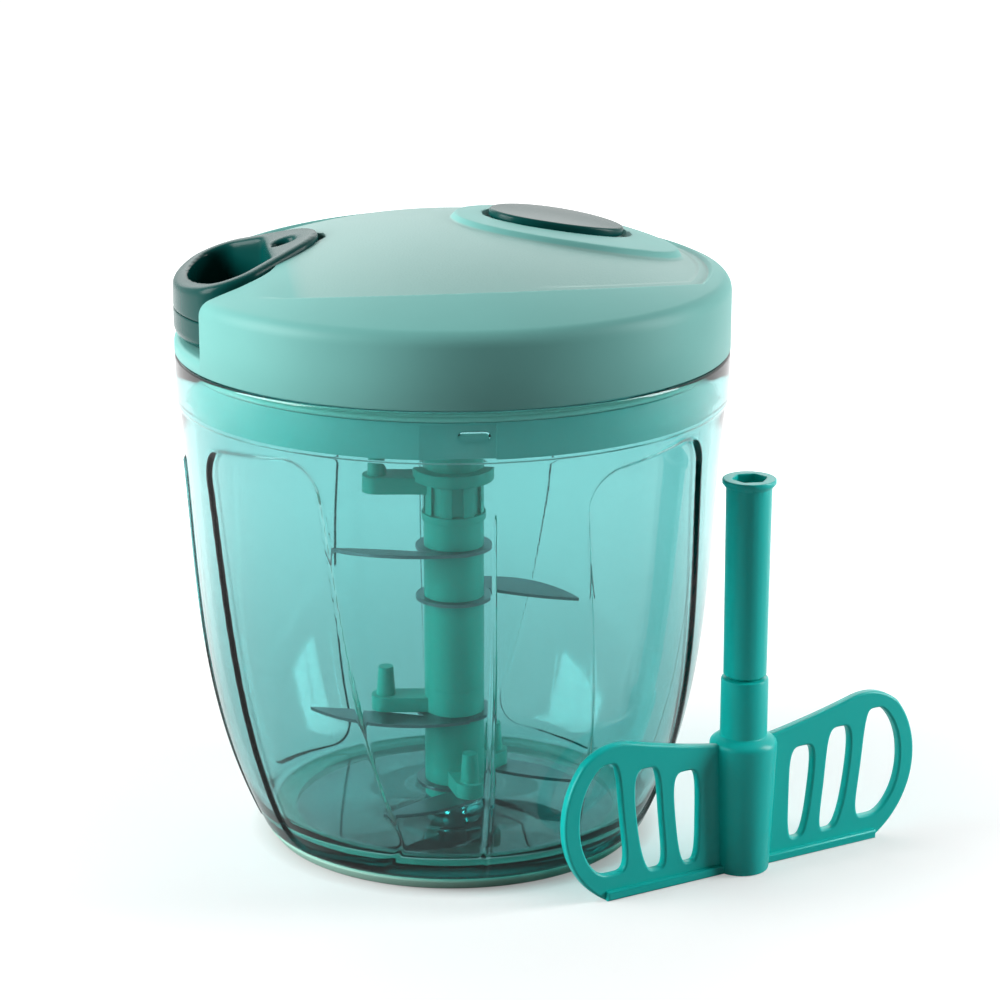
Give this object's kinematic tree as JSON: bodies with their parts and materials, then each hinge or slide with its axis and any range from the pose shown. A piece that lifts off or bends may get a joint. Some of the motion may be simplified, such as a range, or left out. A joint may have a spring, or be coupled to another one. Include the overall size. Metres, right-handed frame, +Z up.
{
  "type": "pull-cord food chopper",
  "caption": "Hand-pulled food chopper: clear tapering bowl, domed lid with a spring-return cord and loop handle, stacked sickle blades on a driven hub, and a separate slotted whisk.",
  "frame": {"origin": "on the bowl's axis, on the surface that it stands on", "axes": "+Z up, the pull handle along -X, the whisk stands towards +X and -Y"},
  "size_m": [0.1733, 0.13, 0.151],
  "materials": {
    "bowl_clear": "clear tinted, polished",
    "foot_soft": "matt",
    "lid_mint": "satin gloss",
    "handle_green": "gloss",
    "hub_teal": "satin gloss",
    "whisk_teal": "gloss",
    "blade_steel": "brushed, ground edge",
    "plain_steel": "plain",
    "inner_plastic": "as moulded",
    "seal_rubber": "matt",
    "cord_fabric": "braided"
  },
  "bodies": {
    "bowl": {"bowl": "bowl_clear", "foot_ring": "foot_soft", "pivot_pin": "plain_steel"},
    "lid": {"lid_cover": "lid_mint", "top_cap": "handle_green", "lid_base": "lid_mint", "lid_seal": "seal_rubber", "spool_bush": "inner_plastic", "cord_guide": "inner_plastic", "spring_cover": "inner_plastic", "spring_arbor": "plain_steel", "return_spring": "plain_steel", "cover_screws": "plain_steel", "lid_screws": "plain_steel", "pull_cord": "cord_fabric"},
    "spool": {"cord_spool": "inner_plastic", "drive_spindle": "plain_steel", "spindle_screw": "plain_steel"},
    "handle": {"handle_lower": "handle_green", "handle_upper": "handle_green", "handle_screws": "plain_steel", "cord_knot": "cord_fabric"},
    "blades": {"blade_core": "inner_plastic", "blade_foot": "hub_teal", "lower_blade": "blade_steel", "lower_hub": "hub_teal", "middle_blade": "blade_steel", "middle_hub": "hub_teal", "blade_spacer": "hub_teal", "right_blade": "blade_steel", "upper_hub": "hub_teal", "left_blade": "blade_steel", "drive_hub": "hub_teal"},
    "whisk": {"whisk_paddle": "whisk_teal", "whisk_stem": "whisk_teal"}
  },
  "joints": [
    {"name": "lid_lift", "type": "slide", "parent": "bowl", "child": "lid", "axis": [0, 0, 1], "range_m": [0, 0.08]},
    {"name": "handle_pull", "type": "slide", "parent": "lid", "child": "handle", "axis": [-1, 0, 0], "range_m": [0, 0.45], "stiffness_N_per_m": 15, "springref_m": -0.25, "deforming": ["pull_cord"]},
    {"name": "spool_turn", "type": "hinge", "parent": "lid", "child": "spool", "pos_m": [0, 0, 0.12], "axis": [0, 0, 1], "range_deg": [-1, 1215], "deforming": ["return_spring"]},
    {"name": "blades_turn", "type": "hinge", "parent": "bowl", "child": "blades", "pos_m": [0, 0, 0.03], "axis": [0, 0, 1], "range_deg": [-1, 1215]},
    {"name": "whisk_move", "type": "slide", "parent": "bowl", "child": "whisk", "axis": [0.8341, -0.5516, 0], "range_m": [0, 0.12]}
  ],
  "couplings": [
    {"joint": "spool_turn", "follows": "handle_pull", "rad_per_m": 46.9},
    {"joint": "blades_turn", "follows": "handle_pull", "rad_per_m": 46.9}
  ]
}
